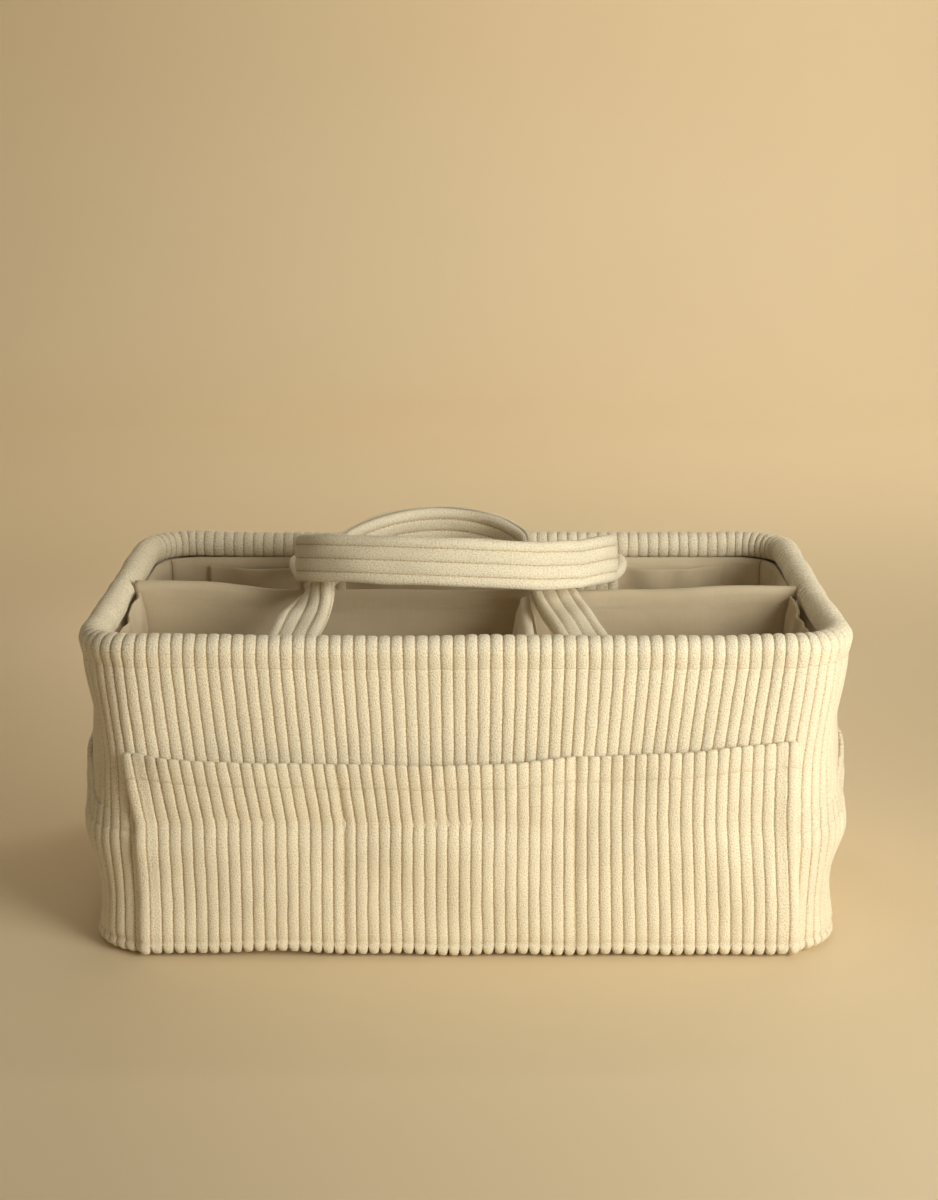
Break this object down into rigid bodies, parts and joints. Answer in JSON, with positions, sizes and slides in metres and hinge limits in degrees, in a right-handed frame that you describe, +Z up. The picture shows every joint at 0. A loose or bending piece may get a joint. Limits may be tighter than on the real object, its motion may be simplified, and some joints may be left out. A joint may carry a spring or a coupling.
{
  "type": "diaper caddy",
  "caption": "Soft rectangular corduroy caddy with a rolled rim, outside and inside pockets, a long divider, a movable cross divider and a pair of carrying straps.",
  "frame": {"origin": "on the floor under the middle of the caddy, at the underside of the base", "axes": "+X to the right along the long side, seen from the front pocket, +Y to the back, +Z up"},
  "size_m": [0.4026, 0.2453, 0.2026],
  "materials": {
    "corduroy": "wide wale cotton corduroy, brushed pile",
    "lining": "plain woven polyester lining, soft sheen",
    "foam": "soft polyester padding",
    "board": "matte stiffening board",
    "tape": "hook and loop tape",
    "webbing": "woven webbing inside the straps"
  },
  "bodies": {
    "caddy": {"base_cover": "corduroy", "base_board": "board", "base_lining": "lining", "outer_front_wrap": "corduroy", "outer_back_wrap": "corduroy", "front_foam": "foam", "back_foam": "foam", "left_foam": "foam", "right_foam": "foam", "front_lining": "lining", "back_lining": "lining", "left_lining": "lining", "right_lining": "lining", "rim_cord": "foam", "front_pocket": "corduroy", "left_pocket": "corduroy", "right_pocket": "corduroy", "left_slip_pocket": "lining", "right_slip_pocket": "lining", "back_slip_pocket": "lining", "long_divider_cover": "lining", "long_divider_board": "board", "left_loop_patch": "tape", "right_loop_patch": "tape", "left_hook_tab": "tape", "right_hook_tab": "tape", "front_loop_strip": "tape", "divider_loop_strip": "tape", "front_handle_left_tab": "corduroy", "front_handle_right_tab": "corduroy", "back_handle_left_tab": "corduroy", "back_handle_right_tab": "corduroy"},
    "back_handle": {"back_handle_cover": "corduroy", "back_handle_core": "webbing"},
    "front_handle": {"front_handle_cover": "corduroy", "front_handle_core": "webbing"},
    "cross_divider": {"cross_divider_cover": "lining", "cross_divider_pad": "foam", "cross_front_hook_tab": "tape", "cross_rear_hook_tab": "tape"}
  },
  "joints": [
    {"name": "back_handle_swing", "type": "hinge", "parent": "caddy", "child": "back_handle", "pos_m": [-0.003, 0.1003, 0.151], "axis": [-1, 0, 0], "range_deg": [0, 76]},
    {"name": "front_handle_swing", "type": "hinge", "parent": "caddy", "child": "front_handle", "pos_m": [-0.013, -0.1003, 0.151], "axis": [1, 0, 0], "range_deg": [0, 65]},
    {"name": "cross_divider_shift", "type": "slide", "parent": "caddy", "child": "cross_divider", "axis": [1, 0, 0], "range_m": [-0.09, 0.005]}
  ],
  "couplings": [
    {"joint": "front_handle_swing", "follows": "back_handle_swing", "ratio": 0.85}
  ]
}
